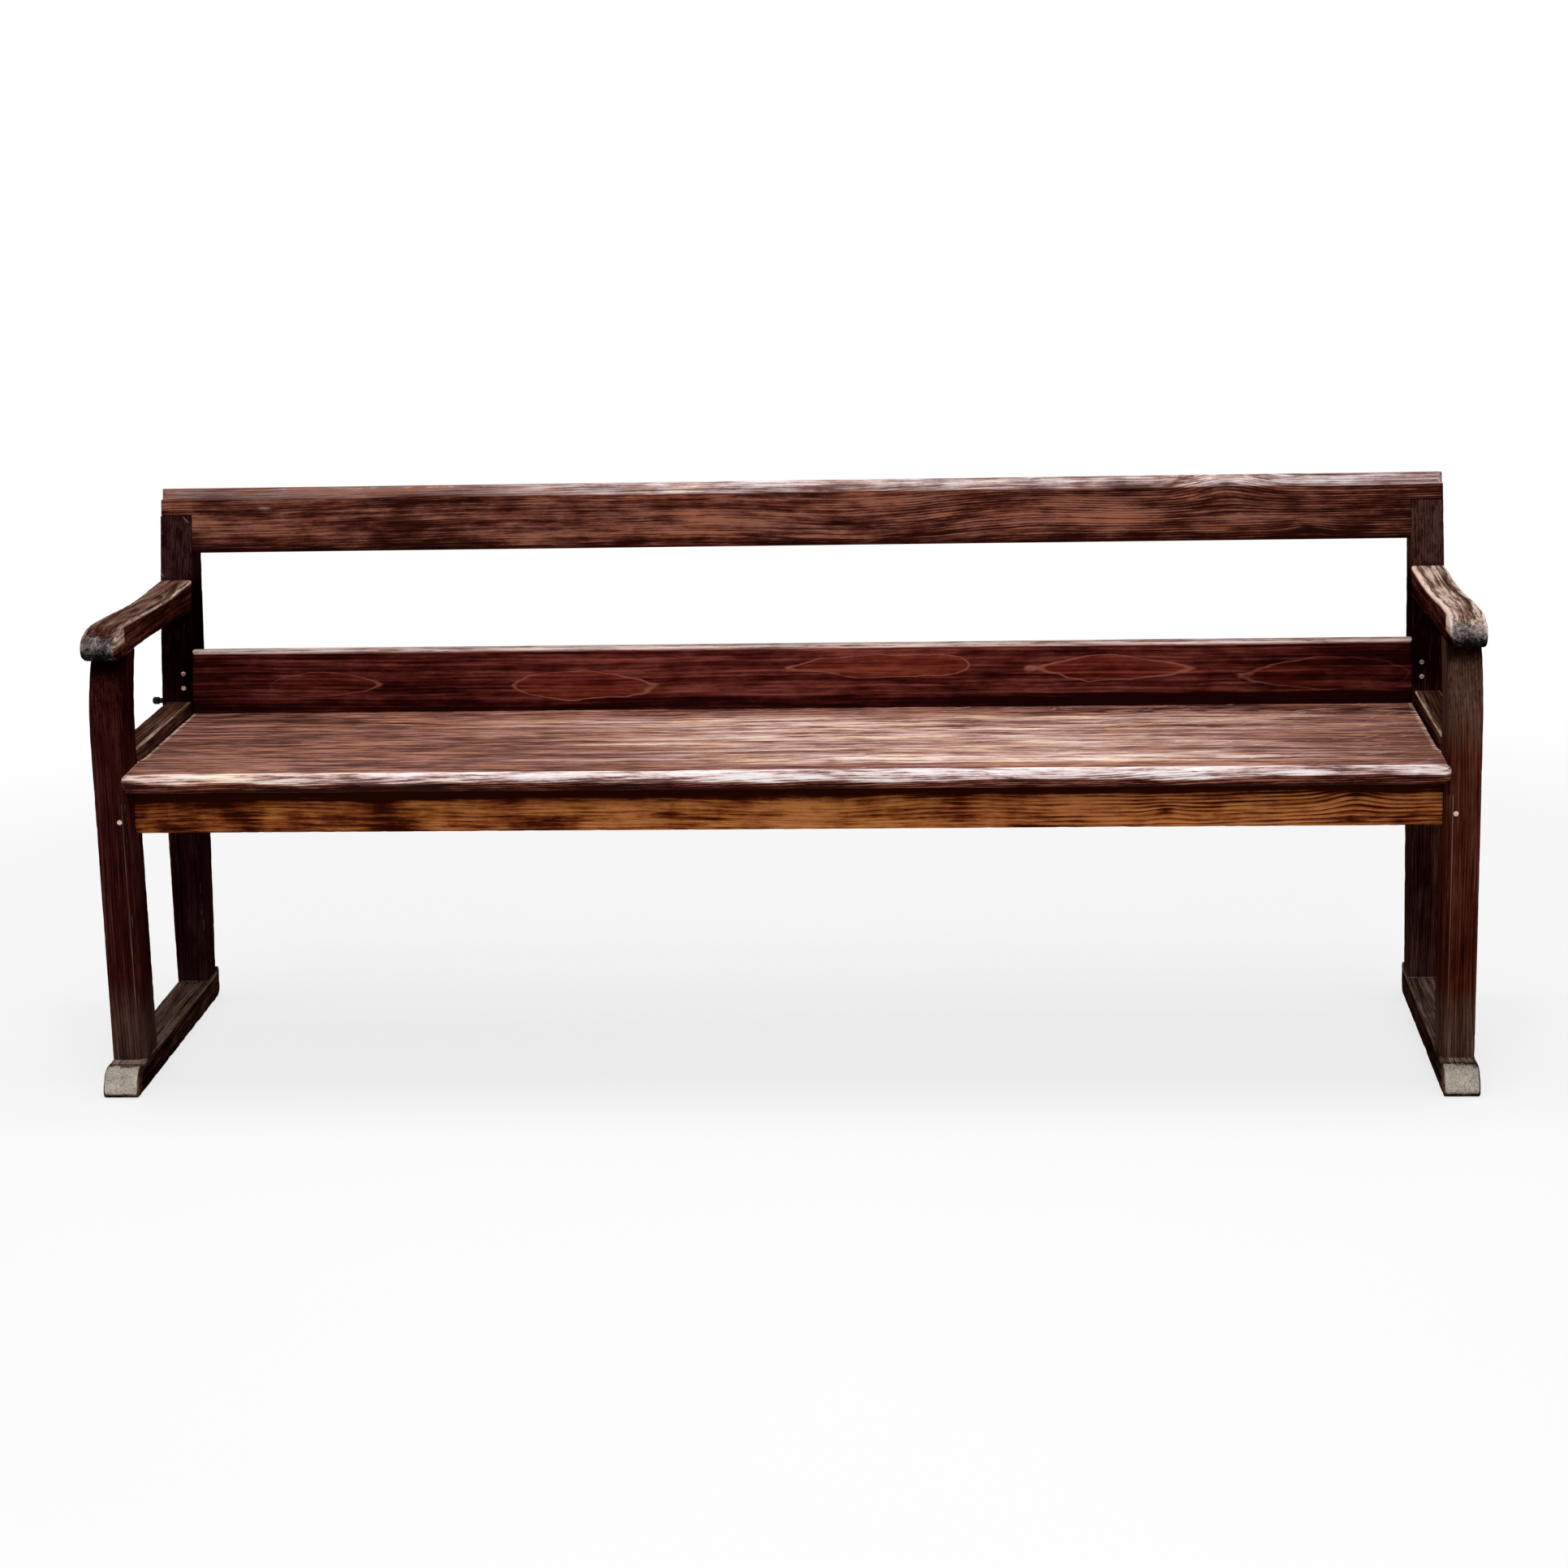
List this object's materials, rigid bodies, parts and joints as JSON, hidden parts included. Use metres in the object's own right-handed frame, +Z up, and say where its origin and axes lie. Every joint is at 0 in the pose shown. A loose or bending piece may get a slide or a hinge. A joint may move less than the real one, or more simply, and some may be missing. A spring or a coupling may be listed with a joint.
{
  "type": "long bench with back and arms",
  "caption": "Long fixed wooden bench with sledge feet, scroll-ended arms, a plank seat, a low back board and a raked top rail.",
  "frame": {"origin": "on the floor, at the middle of the bench's length and depth", "axes": "+X runs along the bench towards its right-hand end as seen from the front, +Y from the front to the back, +Z up"},
  "size_m": [1.935, 0.574, 0.7798],
  "materials": {
    "frame_wood": "dark red-brown stained pine, worn satin, grey and bare on the toes and scrolls",
    "seat_wood": "brown stained pine, polished by use, pale on the rounded front edge",
    "back_wood": "dark maroon stained pine, satin",
    "rail_wood": "red-brown stained pine, worn satin, pale along the top edge",
    "apron_wood": "golden brown pine with dark stain marks, satin",
    "inner_wood": "brown stained pine, matt",
    "peg_wood": "pale worn end grain",
    "black_iron": "black, slightly rusted, matt"
  },
  "bodies": {
    "root": {"apron_pegs": "peg_wood", "back_pegs": "peg_wood", "bearer_pegs": "peg_wood", "cleat_pegs": "peg_wood", "foot_pegs": "peg_wood", "front_apron": "apron_wood", "left_arm": "frame_wood", "left_back_bolt": "black_iron", "left_bolt_nut": "black_iron", "left_foot": "frame_wood", "left_front_post": "frame_wood", "left_rear_post": "frame_wood", "left_seat_bearer": "inner_wood", "left_seat_cleat": "inner_wood", "left_side_rail": "seat_wood", "lower_back_board": "back_wood", "rear_seat_rail": "inner_wood", "right_arm": "frame_wood", "right_back_bolt": "black_iron", "right_bolt_nut": "black_iron", "right_foot": "frame_wood", "right_front_post": "frame_wood", "right_rear_post": "frame_wood", "right_seat_bearer": "inner_wood", "right_seat_cleat": "inner_wood", "right_side_rail": "seat_wood", "seat_board": "seat_wood", "seat_pegs": "peg_wood", "top_rail": "rail_wood", "top_rail_pegs": "peg_wood"}
  },
  "joints": []
}
